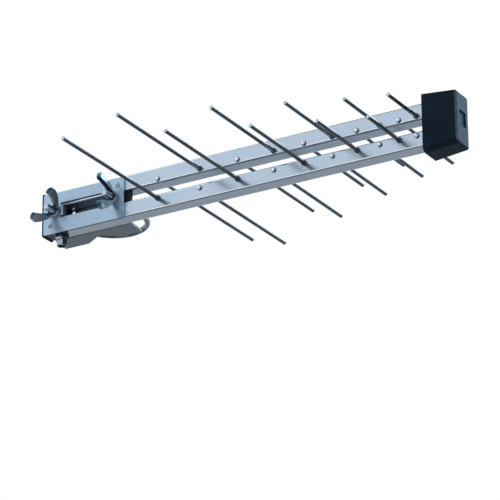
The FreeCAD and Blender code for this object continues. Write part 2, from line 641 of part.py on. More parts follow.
def socket_body():
    """The socket: threaded barrel, hexagonal shoulder and a shank up into the boom."""
    outside = on_socket_axis(SOCKET_MOUTH_Z, SHANK_TOP_Z, SOCKET_BARREL_D)
    shoulder = hexagon(SOCKET_HEX, HEX_TOP_Z - SOCKET_HEX_HEIGHT, SOCKET_HEX_HEIGHT)
    bore = on_socket_axis(SOCKET_MOUTH_Z - 1, SHANK_TOP_Z + 1, SOCKET_BORE_D)
    return outside.fuse(shoulder).cut(bore)


def socket_gasket():
    """The sealing ring between the socket's shoulder and the boom."""
    ring = on_socket_axis(HEX_TOP_Z, -STACK_HALF, GASKET_D)
    hole_d = SOCKET_BARREL_D + 2 * SOCKET_HOLE_CLEARANCE
    return ring.cut(on_socket_axis(HEX_TOP_Z - 1, -STACK_HALF + 1, hole_d))


def socket_locknut():
    """The hexagonal nut on the shank, inside the boom."""
    nut = hexagon(LOCKNUT_HEX, FLOOR_Z, LOCKNUT_HEIGHT)
    return nut.cut(on_socket_axis(FLOOR_Z - 1, FLOOR_Z + LOCKNUT_HEIGHT + 1, SOCKET_BARREL_D))


def socket_insulator():
    """The white core of the socket, set back from its mouth."""
    core = on_socket_axis(SOCKET_MOUTH_Z + INSULATOR_RECESS, SHANK_TOP_Z, SOCKET_BORE_D)
    return core.cut(on_socket_axis(SOCKET_MOUTH_Z, SHANK_TOP_Z + 1, CONTACT_D))


def socket_contact():
    """The spring contact in the core, drilled for the plug's wire."""
    start = SOCKET_MOUTH_Z + INSULATOR_RECESS
    pin = on_socket_axis(start, SHANK_TOP_Z + CONTACT_ABOVE_SHANK, CONTACT_D)
    return pin.cut(on_socket_axis(start, start + CONTACT_BORE_DEPTH, CONTACT_BORE_D))


def along_cable(x_start, x_end, diameter):
    """A round length of the feeder."""
    return rod_between(Vector(x_start, 0, CABLE_Z), Vector(x_end, 0, CABLE_Z), diameter / 2)


def feeder_cable():
    """The coaxial feeder from the socket's contact to the terminals at the nose."""
    wire_start = SOCKET_X + CONTACT_D / 2
    wire_end = CORE_LINK_X + TERMINAL_THICKNESS + WIRE_STUB
    jacket = along_cable(CABLE_START_X, BRAID_LUG_X, CABLE_D)
    core = along_cable(CABLE_START_X, CORE_LINK_X, CABLE_CORE_D)
    return jacket.fuse([core, along_cable(wire_start, wire_end, CABLE_WIRE_D)]).removeSplitter()


def terminal(face_x, flat_z, flat_side, hole_d):
    """A bent strip: an upright leg that the cable passes and a flat leg under a screw."""
    half_width = TERMINAL_WIDTH / 2
    upright_x = (face_x, face_x + TERMINAL_THICKNESS)
    low = CABLE_Z - hole_d / 2 - TERMINAL_OVERHANG
    flat_far = flat_z + flat_side * TERMINAL_THICKNESS
    flat_limits = (min(flat_z, flat_far), max(flat_z, flat_far))
    upright = box(upright_x, (-half_width, half_width), (low, flat_limits[1]))
    flat_x = (FEED_SCREW_X - half_width, upright_x[1])
    flat = box(flat_x, (-half_width, half_width), flat_limits)
    screw_hole = rod_between(
        Vector(FEED_SCREW_X, 0, flat_limits[0] - 1),
        Vector(FEED_SCREW_X, 0, flat_limits[1] + 1),
        FEED_SCREW_D / 2,
    )
    cable_hole = along_cable(upright_x[0] - 1, upright_x[1] + 1, hole_d)
    return upright.fuse(flat).cut([screw_hole, cable_hole]).removeSplitter()


def braid_lug():
    """Joins the cable's screen to the lower boom."""
    return terminal(BRAID_LUG_X, -BOOM_GAP / 2, 1, CABLE_CORE_D)


def core_link():
    """Joins the cable's inner wire to the upper boom, across the gap."""
    return terminal(CORE_LINK_X, BOOM_GAP / 2, -1, CABLE_WIRE_D)


def feed_screw(side):
    """A screw through a terminal into a boom; side is +1 for the upper boom."""
    wall_face = side * BOOM_GAP / 2
    under_head = wall_face - side * TERMINAL_THICKNESS

    def on_axis(z):
        return Vector(FEED_SCREW_X, 0, z)

    tail_z = wall_face + side * (BOOM_WALL + FEED_SCREW_TAIL)
    head_z = under_head - side * FEED_SCREW_HEAD_HEIGHT
    head = rod_between(on_axis(head_z), on_axis(under_head), FEED_SCREW_HEAD_D / 2)
    return head.fuse(rod_between(on_axis(under_head), on_axis(tail_z), FEED_SCREW_D / 2)).removeSplitter()


def feed_screws():
    """Both terminal screws."""
    return Part.makeCompound([feed_screw(1), feed_screw(-1)])


def build_nodes():
    """Every separate piece by name."""
    nodes = {"upper_boom": boom("upper"), "lower_boom": boom("lower")}
    for station in range(len(STATIONS)):
        for name in ("upper", "lower"):
            nodes[f"element_{station + 1:02d}_{name}"] = element(station, name)
    nodes["clamp_plate"] = clamp_plate()
    nodes["plate_rivets"] = plate_rivets()
    nodes["mast_saddle"] = mast_saddle()
    nodes["u_bolt"] = u_bolt()
    for side, hand, turn_deg in ((-1, "left", NUT_LEFT_TURN_DEG), (1, "right", NUT_RIGHT_TURN_DEG)):
        nodes[f"washer_{hand}"] = washer(side)
        nodes[f"wing_nut_{hand}"] = wing_nut(side, turn_deg)
    nodes["boom_spacer"] = boom_spacer()
    nodes["rear_end_cap"] = rear_end_cap()
    nodes["nose_cap"] = nose_cap()
    nodes["boom_carrier"] = boom_carrier()
    nodes["socket_body"] = socket_body()
    nodes["socket_gasket"] = socket_gasket()
    nodes["socket_locknut"] = socket_locknut()
    nodes["socket_insulator"] = socket_insulator()
    nodes["socket_contact"] = socket_contact()
    nodes["feeder_cable"] = feeder_cable()
    nodes["braid_lug"] = braid_lug()
    nodes["core_link"] = core_link()
    nodes["feed_screws"] = feed_screws()
    return nodes


os.makedirs("parts", exist_ok=True)
for node, shape in build_nodes().items():
    shape.translate(Vector(0, -MAST_Y, 0))
    shape.exportStep(f"parts/{node}.step")
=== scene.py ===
import math

import bmesh
import bpy
from mathutils import Matrix, Quaternion, Vector


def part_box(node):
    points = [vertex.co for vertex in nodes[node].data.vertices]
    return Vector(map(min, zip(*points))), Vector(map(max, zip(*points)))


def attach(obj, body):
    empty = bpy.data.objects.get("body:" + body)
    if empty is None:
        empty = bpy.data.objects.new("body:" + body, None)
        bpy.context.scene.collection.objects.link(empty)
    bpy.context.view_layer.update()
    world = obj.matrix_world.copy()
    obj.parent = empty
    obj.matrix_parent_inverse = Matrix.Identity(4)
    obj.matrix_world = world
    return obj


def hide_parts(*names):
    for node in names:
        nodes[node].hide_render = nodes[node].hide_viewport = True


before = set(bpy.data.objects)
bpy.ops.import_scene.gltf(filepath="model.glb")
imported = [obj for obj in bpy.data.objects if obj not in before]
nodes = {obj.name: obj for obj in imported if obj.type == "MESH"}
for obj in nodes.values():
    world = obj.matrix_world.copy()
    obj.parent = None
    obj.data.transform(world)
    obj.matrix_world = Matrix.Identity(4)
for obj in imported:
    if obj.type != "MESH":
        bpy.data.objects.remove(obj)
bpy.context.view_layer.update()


# Camera
# The photograph was taken with a long lens from in front of the clamp and well below the booms,
# so it looks up at their undersides.
CAMERA_AT = Vector((1.41910, -2.19857, -1.08435))
CAMERA_TOWARDS = Vector((-0.46575, 0.80152, 0.37503))
CAMERA_ROLL = math.radians(-0.479)
CAMERA_LENS_MM = 224.2
SENSOR_MM = 36.0

camera = bpy.data.objects.new("camera", bpy.data.cameras.new("camera"))
camera.data.lens = CAMERA_LENS_MM
camera.data.sensor_width = SENSOR_MM
camera.data.clip_end = 50.0
camera.location = CAMERA_AT
camera.rotation_mode = "QUATERNION"
roll = Quaternion((0.0, 0.0, 1.0), CAMERA_ROLL)
camera.rotation_quaternion = CAMERA_TOWARDS.to_track_quat("-Z", "Y") @ roll
bpy.context.scene.collection.objects.link(camera)
bpy.context.scene.camera = camera
bpy.context.scene.view_settings.view_transform = "Standard"


# Studio
# A white surround that is greyer overhead and has one dark flag past the nose, a pale floor
# below the camera, and three soft lamps: upper left, behind, and a bluish one past the nose.
class Shade:
    """A value or colour in a node tree. Arithmetic on a value adds Math nodes."""

    def __init__(self, tree, socket=None):
        self.tree = tree
        self.socket = socket

    def node(self, kind, inputs=None, output=0, **settings):
        """Adds a node: its settings first, then each socket's value or link."""
        made = self.tree.nodes.new(kind)
        for name, value in settings.items():
            setattr(made, name, value)
        for name, value in (inputs or {}).items():
            if isinstance(value, Shade):
                self.tree.links.new(value.socket, made.inputs[name])
            else:
                made.inputs[name].default_value = value
        return Shade(self.tree, made.outputs[output] if made.outputs else None)

    def math(self, operation, *values):
        return self.node("ShaderNodeMath", dict(enumerate(values)), operation=operation)

    def __add__(self, other):
        return self.math("ADD", self, other)

    def __radd__(self, other):
        return self.math("ADD", other, self)

    def __sub__(self, other):
        return self.math("SUBTRACT", self, other)

    def __rsub__(self, other):
        return self.math("SUBTRACT", other, self)

    def __mul__(self, other):
        return self.math("MULTIPLY", self, other)

    def __rmul__(self, other):
        return self.math("MULTIPLY", other, self)

    def __abs__(self):
        return self.math("ABSOLUTE", self)

    def at_least(self, other):
        return self.math("MAXIMUM", self, other)

    def above(self, low, high):
        """0 below low, 1 above high, and a smooth step between them."""
        limits = {"From Min": low, "From Max": high, "Value": self}
        return self.node("ShaderNodeMapRange", limits, interpolation_type="SMOOTHSTEP")

    def between(self, first, second):
        """A colour that goes from the first to the second as this value goes from 0 to 1."""
        return self.node("ShaderNodeMix", {0: self, 6: first, 7: second}, 2, data_type="RGBA")

    def parts(self):
        """The three values of this vector."""
        made = self.node("ShaderNodeSeparateXYZ", {"Vector": self}).socket.node
        return [Shade(self.tree, outlet) for outlet in made.outputs]


SURROUND_WHITE = (1.0, 1.0, 1.0, 1.0)
SURROUND_OVERHEAD = (0.30, 0.33, 0.37, 1.0)
FLAG = (0.015, 0.02, 0.027, 1.0)
AMBIENT = (0.47, 0.50, 0.54, 1.0)
OVERHEAD_START = 0.55
OVERHEAD_END = 0.95
FLAG_START = 0.60
FLAG_END = 0.70
FLOOR_COLOUR = (0.66, 0.62, 0.585, 1.0)
FLOOR_Z = -1.5
FLOOR_RADIUS = 12.0
FLOOR_SEGMENTS = 96
FLOOR_FADE_START = 3.0
FLOOR_FADE_END = 9.0

world = bpy.data.worlds.new("studio")
bpy.context.scene.world = world
world.use_nodes = True
world.node_tree.nodes.clear()
surround = Shade(world.node_tree)
direction = surround.node("ShaderNodeTexCoord", output="Generated").parts()
towards_nose, height = direction[0], direction[2]
overhead = height.above(OVERHEAD_START, OVERHEAD_END)
seen = overhead.between(SURROUND_WHITE, SURROUND_OVERHEAD)
is_seen = surround.node("ShaderNodeLightPath", output="Is Camera Ray")
for ray in ("Glossy", "Transmission"):
    is_seen = is_seen.at_least(surround.node("ShaderNodeLightPath", output=f"Is {ray} Ray"))
mirrored = surround.node("ShaderNodeLightPath", output="Is Glossy Ray")
flag = mirrored * towards_nose.above(FLAG_START, FLAG_END)
around = is_seen.between(AMBIENT, flag.between(seen, FLAG))
background = surround.node("ShaderNodeBackground", {"Color": around})
surround.node("ShaderNodeOutputWorld", {"Surface": background})


def add_lamp(name, place, size, watts, tint):
    """A square soft lamp aimed at the middle of the booms."""
    lamp = bpy.data.objects.new(name, bpy.data.lights.new(name, "AREA"))
    lamp.data.size = size
    lamp.data.energy = watts
    lamp.data.color = tint
    lamp.location = place
    lamp.rotation_euler = (LAMP_TARGET - lamp.location).to_track_quat("-Z", "Y").to_euler()
    lamp.visible_camera = False
    bpy.context.scene.collection.objects.link(lamp)


LAMP_TARGET = Vector((0.15, -0.04, 0.0))
KEY_TINT = (1.0, 0.99, 0.97)
REAR_TINT = (0.86, 0.94, 1.0)
NOSE_TINT = (0.50, 0.75, 1.0)
add_lamp("key_lamp", place=(-2.3, -0.9, 2.6), size=1.6, watts=26.0, tint=KEY_TINT)
add_lamp("rear_lamp", place=(0.55, 2.2, 1.6), size=1.2, watts=30.0, tint=REAR_TINT)
add_lamp("nose_lamp", place=(1.30, 1.60, 0.75), size=0.9, watts=6.0, tint=NOSE_TINT)

floor_mesh = bpy.data.meshes.new("floor")
floor_form = bmesh.new()
bmesh.ops.create_circle(floor_form, cap_ends=True, segments=FLOOR_SEGMENTS, radius=FLOOR_RADIUS)
floor_form.to_mesh(floor_mesh)
floor_form.free()
floor = bpy.data.objects.new("floor", floor_mesh)
floor.location = (0.0, 0.0, FLOOR_Z)
bpy.context.scene.collection.objects.link(floor)


def start_material(name):
    """An empty material and the Shade that its nodes are added through."""
    made = bpy.data.materials.new(name)
    made.use_nodes = True
    made.node_tree.nodes.clear()
    return made, Shade(made.node_tree)


floor_material, start = start_material("pale_floor")
floor_x, floor_y = start.node("ShaderNodeTexCoord", output="Object").parts()[:2]
away = start.math("SQRT", floor_x * floor_x + floor_y * floor_y)
paint = start.node("ShaderNodeBsdfDiffuse", {"Color": FLOOR_COLOUR})
haze = start.node("ShaderNodeEmission", {"Color": SURROUND_WHITE})
mixed = {0: away.above(FLOOR_FADE_START, FLOOR_FADE_END), 1: paint, 2: haze}
start.node("ShaderNodeOutputMaterial", {"Surface": start.node("ShaderNodeMixShader", mixed)})
floor_mesh.materials.append(floor_material)


# Booms
# Two square tubes of extruded aluminium, drilled right through for the rods. The mill finish
# keeps fine lines along the tube and faint rub marks. A painted highlight runs along the lower
# edges, a painted dark reflection along every corner, and painted shade lies under the rear end.
MM = 0.001
BOOM_PLANE_Y = -42.0034 * MM
ALUMINIUM = (0.49, 0.60, 0.72, 1.0)
ALUMINIUM_DULL = (0.43, 0.54, 0.66, 1.0)
# Painted dark reflection for the middle of each rounded corner.
ALUMINIUM_CORNER_PAINTED_SHADE = (0.15, 0.20, 0.26, 1.0)
# Painted highlight for the lower edges, beside the side faces.
ALUMINIUM_PAINTED_HIGHLIGHT = (0.82, 0.90, 0.97, 1.0)
# Painted shade for the underside under the rear end, by the cap.
REAR_PAINTED_SHADE = (0.010, 0.018, 0.022, 1.0)
REAR_SHADE_START = -38.0 * MM
REAR_SHADE_END = -32.0 * MM
REAR_SHADE_WANDER = 8.0 * MM
UNDERSIDE_Z = -19.0 * MM
UNDERSIDE_BLEND = 1.0 * MM


def position(start):
    """The place on the surface, in the piece's own frame."""
    return start.node("ShaderNodeTexCoord", output="Object")


def normals(start):
    """The three parts of the surface's direction, in the piece's own frame."""
    return start.node("ShaderNodeTexCoord", output="Normal").parts()


def facing(start):
    """How squarely the surface faces along each of the three axes, either way."""
    return [abs(part) for part in normals(start)]


def grain(start, place, scale, detail=3.0, roughness=0.5):
    """Noise from 0 to 1 whose scale is given for each direction."""
    stretched = start.node("ShaderNodeMapping", {"Vector": place, "Scale": scale})
    inputs = {"Vector": stretched, "Scale": 1.0, "Detail": detail, "Roughness": roughness}
    return start.node("ShaderNodeTexNoise", inputs)


def bump(start, height, distance, strength=1.0):
    """A normal from a height of 0 to 1 over the given distance."""
    inputs = {"Height": height, "Distance": distance, "Strength": strength}
    return start.node("ShaderNodeBump", inputs)


def close_material(start, **inputs):
    """Adds the Principled shader; names use an underscore for a space."""
    named = {name.replace("_", " "): value for name, value in inputs.items()}
    shader = start.node("ShaderNodeBsdfPrincipled", named)
    start.node("ShaderNodeOutputMaterial", {"Surface": shader})


def dress(material, *names):
    """Puts a material in every slot of the named CAD nodes."""
    for name in names:
        mesh = nodes[name].data
        if not mesh.materials:
            mesh.materials.append(material)
        for index in range(len(mesh.materials)):
            mesh.materials[index] = material


aluminium, start = start_material("mill_aluminium")
place = position(start)
lines = grain(start, place, (6.0, 2500.0, 2500.0), 2.0)
smudge = grain(start, place, (30.0, 60.0, 60.0), 4.0, 0.6)
tone = (lines * 0.35 + smudge * 0.65).above(0.25, 0.75)
side_y, side_z = facing(start)[1:]
rounded = side_y * side_z
upright = (side_y - side_z).above(0.0, 0.2)
downward = (0.0 - normals(start)[2]).above(0.0, 0.1)
# Painted highlight on the lower rounding, next to each side face.
lower_edge_painted_highlight = rounded.above(0.06, 0.18) * upright * downward
# Painted dark reflection in the middle of every rounding.
corner_painted_shade = rounded.above(0.42, 0.49)
x, _, z = place.parts()
# Painted shade under the rear end: on the underside, back from a wandering line.
from_rear = x + REAR_SHADE_WANDER * (smudge - 0.5)
underside = 1.0 - z.above(UNDERSIDE_Z - UNDERSIDE_BLEND, UNDERSIDE_Z)
rear_painted_shade = (1.0 - from_rear.above(REAR_SHADE_START, REAR_SHADE_END)) * underside
metal = lower_edge_painted_highlight.between(tone.between(ALUMINIUM_DULL, ALUMINIUM), ALUMINIUM_PAINTED_HIGHLIGHT)
close_material(
    start,
    Base_Color=rear_painted_shade.between(corner_painted_shade.between(metal, ALUMINIUM_CORNER_PAINTED_SHADE), REAR_PAINTED_SHADE),
    Metallic=0.95,
    Roughness=0.17 + 0.10 * smudge,
    Normal=bump(start, lines, 0.02 * MM, 0.35),
)
dress(aluminium, "upper_boom", "lower_boom")


# Rods
# Drawn aluminium rod, headed against one face of the boom and collared against the other. The
# free length has dulled to a dark grey. The cut ends and the heads are still bright, with painted
# shade round each head and on its lower side.
ROD_DARK = (0.055, 0.068, 0.086, 1.0)
ROD_LIGHT = (0.10, 0.12, 0.145, 1.0)
ROD_BRIGHT = (0.50, 0.60, 0.70, 1.0)
COLLAR_DARK = (0.085, 0.105, 0.13, 1.0)
# Painted shade for the rim and lower side of each head.
HEAD_PAINTED_SHADE = (0.02, 0.04, 0.06, 1.0)
HEAD_START = 7.4 * MM
COLLAR_END = 9.3 * MM
FINISH_BLEND = 0.2 * MM
END_BLEND = 1.0 * MM
HEAD_SHADE_TOWARDS_X = 0.76
HEAD_SHADE_TOWARDS_Z = -0.65

rod_materials = {}
for head_side in (-1, 1):
    rod_material, start = start_material("drawn_rod_near" if head_side > 0 else "drawn_rod_far")
    place = position(start)
    from_boom = place.parts()[1] - BOOM_PLANE_Y
    normal_x, normal_y, normal_z = normals(start)
    end_on = abs(normal_y)
    towards_head = from_boom * head_side
    head = towards_head.above(HEAD_START - FINISH_BLEND, HEAD_START)
    collar = (0.0 - towards_head).above(HEAD_START - FINISH_BLEND, HEAD_START)
    collar = collar * (towards_head + COLLAR_END).above(0.0, FINISH_BLEND)
    cut_end = end_on.above(0.75, 0.9) * abs(from_boom).above(COLLAR_END, COLLAR_END + END_BLEND)
    bright = cut_end.at_least(head)
    # Painted shade on each head: on all but its end-on face, and on its lower side.
    lower_side = (normal_x * HEAD_SHADE_TOWARDS_X + normal_z * HEAD_SHADE_TOWARDS_Z).above(0.30, 0.45)
    head_painted_shade = head * (1.0 - end_on.above(0.50, 0.80)).at_least(lower_side)
    drawn = grain(start, place, (900.0, 12.0, 900.0), 2.0)
    rod_colour = drawn.above(0.3, 0.7).between(ROD_DARK, ROD_LIGHT)
    length_colour = collar.between(rod_colour, COLLAR_DARK)
    bright_colour = head_painted_shade.between(ROD_BRIGHT, HEAD_PAINTED_SHADE)
    close_material(
        start,
        Base_Color=bright.between(length_colour, bright_colour),
        Metallic=0.95,
        Roughness=0.26 + 0.10 * drawn,
        Normal=bump(start, drawn, 0.02 * MM, 0.3),
    )
    rod_materials[head_side] = rod_material

STATIONS = 10
for station in range(STATIONS):
    for name in ("upper", "lower"):
        points_away = (name == "upper") == (station % 2 == 0)
        dress(rod_materials[-1 if points_away else 1], f"element_{station + 1:02d}_{name}")


# Clamp plate and saddle
# Pressed steel sheet with a thin zinc coat. The plate is pale with a faint sparkle of small
# crystals, and its edges that face up or down are painted shade. The saddle behind it is rougher,
# and its darker grey is painted shade.
ZINC_PALE = (0.385, 0.52, 0.66, 1.0)
ZINC_DULL = (0.32, 0.45, 0.59, 1.0)
# The saddle's two tones are painted shade: the same zinc, darker where it sits behind the plate.
SADDLE_PAINTED_SHADE = (0.19, 0.23, 0.28, 1.0)
SADDLE_PAINTED_SHADE_DEEP = (0.12, 0.15, 0.19, 1.0)
# Painted shade for the plate's edges that face up or down.
PLATE_EDGE_PAINTED_SHADE = (0.045, 0.065, 0.09, 1.0)


def zinc(name, pale, dull, edge, roughness):
    """A galvanised finish between two tones, with a third tone where the surface faces up or down;
    on the plate's edges that tone is painted shade.
    """
    made, start = start_material(name)
    place = position(start)
    inputs = {"Vector": place, "Scale": 900.0}
    crystals = start.node("ShaderNodeTexVoronoi", inputs, output="Color").parts()[0]
    patch = grain(start, place, (90.0, 90.0, 90.0), 4.0, 0.6)
    tone = (crystals * 0.35 + patch * 0.65).above(0.2, 0.8)
    # Where the surface faces up or down it takes the edge tone: painted shade on the plate.
    close_material(
        start,
        Base_Color=facing(start)[2].above(0.6, 0.85).between(tone.between(dull, pale), edge),
        Metallic=0.9,
        Roughness=roughness + 0.14 * patch,
        Normal=bump(start, crystals, 0.03 * MM, 0.35),
    )
    return made


dress(zinc("galvanised_sheet", ZINC_PALE, ZINC_DULL, PLATE_EDGE_PAINTED_SHADE, 0.26), "clamp_plate")
# The saddle in darker zinc tones that are painted shade.
dress(zinc("zinc_painted_shade", SADDLE_PAINTED_SHADE, SADDLE_PAINTED_SHADE_DEEP, SADDLE_PAINTED_SHADE, 0.34), "mast_saddle")


# U-bolt and washers
# A steel rod with a rolled thread at both ends, bent into a U. Its zinc plate is dull and cloudy,
# paler on the studs as a painted reflection of the plate behind them, and pale on their ends. The
# washers are stamped from plated sheet.
STUD_X = 31.0 * MM
STUD_TIP_Y = -24.5 * MM
STUD_CHAMFER = 0.7 * MM
STUD_CORE_R = 2.3 * MM
THREAD_R = 3.0 * MM
THREAD_DEPTH = 0.24 * MM
THREAD_CREST = 0.55
THREAD_PITCH = 1.0 * MM
THREAD_END_Y = 11.5 * MM
THREAD_RUNOUT = 1.0 * MM
U_BOLT_ROD_R = 2.65 * MM
U_BOLT_BEND_Y = 38.95 * MM
TURN_RINGS = 8
BOLT_SEGMENTS = 28
UPWARD = Vector((0.0, 0.0, 1.0))
BEND_RINGS = 48
PLATED = (0.21, 0.255, 0.30, 1.0)
PLATED_DARK = (0.075, 0.10, 0.13, 1.0)
PLATED_END = (0.46, 0.58, 0.68, 1.0)
# Painted reflection of the bright plate, for the studs in front of it.
PLATED_STUD_PAINTED_REFLECTION = (0.42, 0.55, 0.66, 1.0)
PLATE_FRONT_Y = BOOM_PLANE_Y - 9.5 * MM
STUD_BLEND = 1.0 * MM

plated, start = start_material("zinc_plated_steel")
place = position(start)
clouds = grain(start, place, (160.0, 160.0, 160.0), 3.0)
end_on = facing(start)[1].above(0.9, 0.97)
rod_colour = clouds.above(0.35, 0.65).between(PLATED_DARK, PLATED)
# Painted reflection on the studs in front of the plate.
studs = 1.0 - place.parts()[1].above(PLATE_FRONT_Y - STUD_BLEND, PLATE_FRONT_Y)
close_material(
    start,
    Base_Color=end_on.between(studs.between(rod_colour, PLATED_STUD_PAINTED_REFLECTION), PLATED_END),
    Metallic=1.0,
    Roughness=0.16 + 0.12 * clouds,
    Normal=bump(start, clouds, 0.05 * MM, 0.3),
)
dress(plated, "washer_left", "washer_right")


def join_rings(form, rings, closed=False):
    """Quads between each ring of places and the next; caps the ends of an open tube."""
    made = [[form.verts.new(place) for place in ring] for ring in rings]
    pairs = list(zip(made, made[1:]))
    if closed:
        pairs.append((made[-1], made[0]))
    else:
        form.faces.new(made[0])
        form.faces.new(made[-1][::-1])
    for ring, following in pairs:
        for index in range(len(ring)):
            after = (index + 1) % len(ring)
            form.faces.new((ring[index], following[index], following[after], ring[after]))


def thread_radius(crest, depth, turns):
    """The radius of a flat-crested thread at a number of turns along it."""
    from_crest = abs(2.0 * (turns % 1.0) - 1.0)
    return crest - depth * max(0.0, from_crest - THREAD_CREST) / (1.0 - THREAD_CREST)


def add_piece(name, form, material, replaced, sharp_angle=40.0):
    """Makes the mesh a piece that rides on the body and stands for its CAD nodes."""
    bmesh.ops.recalc_face_normals(form, faces=form.faces)
    mesh = bpy.data.meshes.new(name)
    form.to_mesh(mesh)
    form.free()
    mesh.materials.append(material)
    mesh.shade_smooth()
    mesh.set_sharp_from_angle(angle=math.radians(sharp_angle))
    piece = bpy.data.objects.new(name, mesh)
    bpy.context.scene.collection.objects.link(piece)
    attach(piece, "root")
    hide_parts(replaced)
    return piece


def bolt_ring(centre, outward, radius_at):
    """One ring of the U-bolt, square to its path."""
    ring = []
    for index in range(BOLT_SEGMENTS):
        turn = index / BOLT_SEGMENTS
        angle = 2.0 * math.pi * turn
        towards = math.cos(angle) * outward + math.sin(angle) * UPWARD
        ring.append(centre + radius_at(turn) * towards)
    return ring


def leg_rings(side):
    """The rings of one leg, from its tip to the start of the bend."""
    outward = Vector((side, 0.0, 0.0))
    step = THREAD_PITCH / TURN_RINGS
    count = round((THREAD_END_Y - STUD_TIP_Y) / step)
    rings = []
    for index in range(count + 1):
        y = STUD_TIP_Y + index * step
        limit = STUD_CORE_R + (y - STUD_TIP_Y) * (THREAD_R - STUD_CORE_R) / STUD_CHAMFER
        fade = max(0.0, (y - THREAD_END_Y + THREAD_RUNOUT) / THREAD_RUNOUT)

        def radius_at(turn):
            cut = thread_radius(THREAD_R, THREAD_DEPTH, index / TURN_RINGS - side * turn)
            return min(limit, cut + fade * (U_BOLT_ROD_R - cut))

        rings.append(bolt_ring(Vector((side * STUD_X, BOOM_PLANE_Y + y, 0.0)), outward, radius_at))
    return rings


u_bolt_form = bmesh.new()
bend_rings = []
for index in range(BEND_RINGS + 1):
    turned = math.pi * index / BEND_RINGS
    outward = Vector((-math.cos(turned), math.sin(turned), 0.0))
    middle = Vector((0.0, BOOM_PLANE_Y + U_BOLT_BEND_Y, 0.0)) + STUD_X * outward
    bend_rings.append(bolt_ring(middle, outward, lambda turn: U_BOLT_ROD_R))
join_rings(u_bolt_form, leg_rings(-1) + bend_rings + leg_rings(1)[::-1])
add_piece("threaded_u_bolt", u_bolt_form, plated, "u_bolt")


# Rivets of the clamp plate
# Blind rivets of aluminium, one into each boom. The flange is domed, and its middle is the pit
# that the broken-off pin leaves. The pit's walls and the flange's rim are painted shade.
RIVET_PLACES_MM = [(-36.7, -12.6), (35.2, 11.5)]
RIVET_PROFILE_MM = [
    (0.05, 0.30),
    (0.45, 0.28),
    (0.60, 0.05),
    (0.95, 0.08),
    (1.10, 0.70),
    (1.45, 0.80),
    (1.95, 0.62),
    (2.20, 0.25),
    (2.20, 0.00),
]
RIVET_SHANK_R = 1.6 * MM
RIVET_SEGMENTS = 32
RIVET_BRIGHT = (0.40, 0.50, 0.60, 1.0)
# Painted shade for the steep surfaces of the rivets.
RIVET_PAINTED_SHADE = (0.018, 0.040, 0.060, 1.0)

rivet, start = start_material("rivet_aluminium")
scuff = grain(start, position(start), (700.0, 700.0, 700.0), 3.0)
# Painted shade wherever the surface turns away from facing straight out: pit walls and rim.
steep_painted_shade = 1.0 - facing(start)[1].above(0.35, 0.7)
close_material(
    start,
    Base_Color=steep_painted_shade.between(RIVET_BRIGHT, RIVET_PAINTED_SHADE),
    Metallic=0.95,
    Roughness=0.20 + 0.15 * scuff,
    Normal=bump(start, scuff, 0.03 * MM, 0.3),
)
rivet_inner_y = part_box("plate_rivets")[1][1]
rivet_profile = [(radius * MM, PLATE_FRONT_Y - rise * MM) for radius, rise in RIVET_PROFILE_MM]
rivet_profile += [(RIVET_SHANK_R, PLATE_FRONT_Y), (RIVET_SHANK_R, rivet_inner_y)]
rivet_form = bmesh.new()
for rivet_x, rivet_z in RIVET_PLACES_MM:
    rings = []
    for radius, y in rivet_profile:
        ring = []
        for index in range(RIVET_SEGMENTS):
            angle = 2.0 * math.pi * index / RIVET_SEGMENTS
            x = rivet_x * MM + radius * math.cos(angle)
            z = rivet_z * MM + radius * math.sin(angle)
            ring.append((x, y, z))
        rings.append(ring)
    join_rings(rivet_form, rings)
add_piece("blind_rivets", rivet_form, rivet, "plate_rivets", 50.0)


# Wing nuts
# Cast steel with a zinc plate: a low round base with two ears that rise in a U beside the stud.
# Its blue-black tones are painted light and shade set by the way each surface faces. The ears'
# broad faces are painted paler, most of all on the right nut, and their rims carry a painted
# highlight. The inner sides and the base's front are painted dark reflection, and the crowns,
# outer sides and the base's rim are painted paler reflection.
NUT_SEAT_Y = -11.0 * MM
NUT_TURNS = {"left": 50.0, "right": 91.0}
NUT_SIDES = {"left": -1, "right": 1}
NUT_PROFILE_MM = [
    (3.05, 0.0),
    (5.4, 0.0),
    (5.8, 0.4),
    (5.8, 1.5),
    (5.2, 2.2),
    (4.9, 3.0),
    (3.05, 3.0),
]
EAR_THICKNESS = 4.6 * MM
EAR_CORNERS_MM = [
    ((4.4, 0.3), 1.5),
    ((17.4, 17.0), 1.3),
    ((13.6, 22.2), 0.7),
    ((10.2, 21.2), -0.9),
    ((3.9, 3.0), 0.0),
]
EAR_EDGE_ROUND = 0.4 * MM
BASE_TOP = 3.6 * MM
BASE_BLEND = 0.8 * MM
BASE_R = 6.4 * MM
BASE_INNER_R2 = 0.9 * BASE_R * BASE_R
CAST_VOXEL = 0.25 * MM
CAST_SMOOTHING = 4
ARC_STEPS = 10
HUB_SEGMENTS = 48
# Painted light: the broad faces' tone, paler on the right nut than on the left.
NUT_FACES_PAINTED_LIGHT = {"left": (0.22, 0.27, 0.32, 1.0), "right": (0.40, 0.49, 0.57, 1.0)}
# The faces and rims with painted light are less metallic.
FACE_METALLIC_LOSS = 0.5
# Painted reflections set by which way a surface faces: dark inside, paler outside and on the
# base's rim, teal on the crowns.
NUT_PAINTED_DARK_REFLECTION = (0.010, 0.028, 0.045, 1.0)
NUT_OUTSIDE_PAINTED_REFLECTION = (0.20, 0.26, 0.32, 1.0)
NUT_CROWN_PAINTED_REFLECTION = (0.035, 0.095, 0.145, 1.0)
NUT_BASE_PAINTED_REFLECTION = (0.34, 0.43, 0.51, 1.0)
# Painted highlight for the rims of the ears.
NUT_RIM_PAINTED_HIGHLIGHT = (0.78, 0.87, 0.95, 1.0)
RIM_HIGHLIGHT_START = 6.0 * MM
RIM_HIGHLIGHT_END = 10.0 * MM

